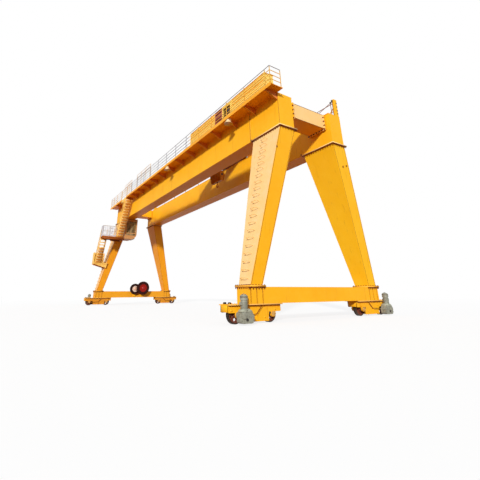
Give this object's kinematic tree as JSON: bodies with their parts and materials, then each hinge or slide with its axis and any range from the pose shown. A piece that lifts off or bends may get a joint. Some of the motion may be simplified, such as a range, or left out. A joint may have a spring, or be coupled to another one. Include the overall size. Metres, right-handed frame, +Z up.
{
  "type": "gantry crane",
  "caption": "Rail-mounted double-girder gantry crane with tapered A-frame legs, side walkway, hanging operator cab with stairs, travelling trolley with raised hook block, and cable reels.",
  "frame": {"origin": "centre of the travel wheels' lowest plane, midway between the two rails and the two girders", "axes": "+X along the girders from the cab end to the other end, +Y along the travel rails away from the walkway side, +Z up"},
  "size_m": [28.86, 10.14, 12.02],
  "materials": {
    "yellow_paint": "semi-gloss, sun-faded",
    "grey_paint": "semi-gloss",
    "machine_grey": "matte, dusty",
    "wheel_red": "matte with bright worn treads",
    "dark_steel": "dull, oxidised",
    "red_brown_paint": "matte",
    "cab_glass": "tinted",
    "lamp_grey": "matte",
    "reel_red": "semi-gloss",
    "reel_black": "semi-gloss"
  },
  "bodies": {
    "gantry": {"girder_left": "yellow_paint", "girder_right": "yellow_paint", "girder_leg_pads": "yellow_paint", "cross_beam_stubs": "yellow_paint", "trolley_rail_left": "dark_steel", "trolley_rail_right": "dark_steel", "trolley_end_stops": "yellow_paint", "cross_beam_near": "yellow_paint", "cross_beam_far": "yellow_paint", "leg_near_left": "yellow_paint", "leg_near_right": "yellow_paint", "leg_far_left": "yellow_paint", "leg_far_right": "yellow_paint", "sill_beam_near": "yellow_paint", "sill_beam_far": "yellow_paint", "bogie_near_left": "yellow_paint", "bogie_near_right": "yellow_paint", "bogie_far_left": "yellow_paint", "bogie_far_right": "yellow_paint", "travel_drives_near": "machine_grey", "travel_drives_far": "machine_grey", "walkway_deck": "yellow_paint", "walkway_brackets": "yellow_paint", "walkway_railing": "grey_paint", "walkway_guard_bays": "grey_paint", "walkway_end_railings": "grey_paint", "right_girder_railing": "grey_paint", "girder_end_posts": "yellow_paint", "ribbed_cabinets": "yellow_paint", "resistor_box": "red_brown_paint", "electrical_house": "yellow_paint", "floodlights": "lamp_grey", "leg_rungs": "yellow_paint", "cab_shell": "yellow_paint", "cab_glass": "cab_glass", "cab_platform": "grey_paint", "upper_stair": "yellow_paint", "lower_stair": "yellow_paint", "lower_landing": "yellow_paint", "reel_stand": "yellow_paint"},
    "wheel_1": {"travel_wheel_1": "wheel_red"},
    "wheel_2": {"travel_wheel_2": "wheel_red"},
    "wheel_3": {"travel_wheel_3": "wheel_red"},
    "wheel_4": {"travel_wheel_4": "wheel_red"},
    "wheel_5": {"travel_wheel_5": "wheel_red"},
    "wheel_6": {"travel_wheel_6": "wheel_red"},
    "wheel_7": {"travel_wheel_7": "wheel_red"},
    "wheel_8": {"travel_wheel_8": "wheel_red"},
    "trolley": {"trolley_frame": "yellow_paint", "trolley_wheels": "wheel_red", "hoist_drum": "machine_grey", "hoist_machine": "machine_grey", "rope_leads": "dark_steel", "hoist_ropes": "dark_steel"},
    "hook": {"hook_block": "yellow_paint"},
    "large_reel": {"cable_reel_large": "reel_red"},
    "small_reel": {"cable_reel_small": "reel_black"}
  },
  "joints": [
    {"name": "travel_wheel_1_spin", "type": "hinge", "parent": "gantry", "child": "wheel_1", "pos_m": [13, -4.62, 0.325], "axis": [1, 0, 0], "continuous": true},
    {"name": "travel_wheel_2_spin", "type": "hinge", "parent": "gantry", "child": "wheel_2", "pos_m": [13, -2.92, 0.325], "axis": [1, 0, 0], "continuous": true},
    {"name": "travel_wheel_3_spin", "type": "hinge", "parent": "gantry", "child": "wheel_3", "pos_m": [13, 2.92, 0.325], "axis": [1, 0, 0], "continuous": true},
    {"name": "travel_wheel_4_spin", "type": "hinge", "parent": "gantry", "child": "wheel_4", "pos_m": [13, 4.62, 0.325], "axis": [1, 0, 0], "continuous": true},
    {"name": "travel_wheel_5_spin", "type": "hinge", "parent": "gantry", "child": "wheel_5", "pos_m": [-13, -4.62, 0.325], "axis": [1, 0, 0], "continuous": true},
    {"name": "travel_wheel_6_spin", "type": "hinge", "parent": "gantry", "child": "wheel_6", "pos_m": [-13, -2.92, 0.325], "axis": [1, 0, 0], "continuous": true},
    {"name": "travel_wheel_7_spin", "type": "hinge", "parent": "gantry", "child": "wheel_7", "pos_m": [-13, 2.92, 0.325], "axis": [1, 0, 0], "continuous": true},
    {"name": "travel_wheel_8_spin", "type": "hinge", "parent": "gantry", "child": "wheel_8", "pos_m": [-13, 4.62, 0.325], "axis": [1, 0, 0], "continuous": true},
    {"name": "trolley_travel", "type": "slide", "parent": "gantry", "child": "trolley", "axis": [1, 0, 0], "range_m": [-14.8, 5.7]},
    {"name": "hook_lift", "type": "slide", "parent": "trolley", "child": "hook", "axis": [0, 0, 1], "range_m": [-7, 0.2], "deforming": ["hoist_ropes"]},
    {"name": "large_reel_spin", "type": "hinge", "parent": "gantry", "child": "large_reel", "pos_m": [-12.205, 0.77, 1.65], "axis": [1, 0, 0], "continuous": true},
    {"name": "small_reel_spin", "type": "hinge", "parent": "gantry", "child": "small_reel", "pos_m": [-12.425, -0.06, 1.56], "axis": [1, 0, 0], "continuous": true}
  ]
}
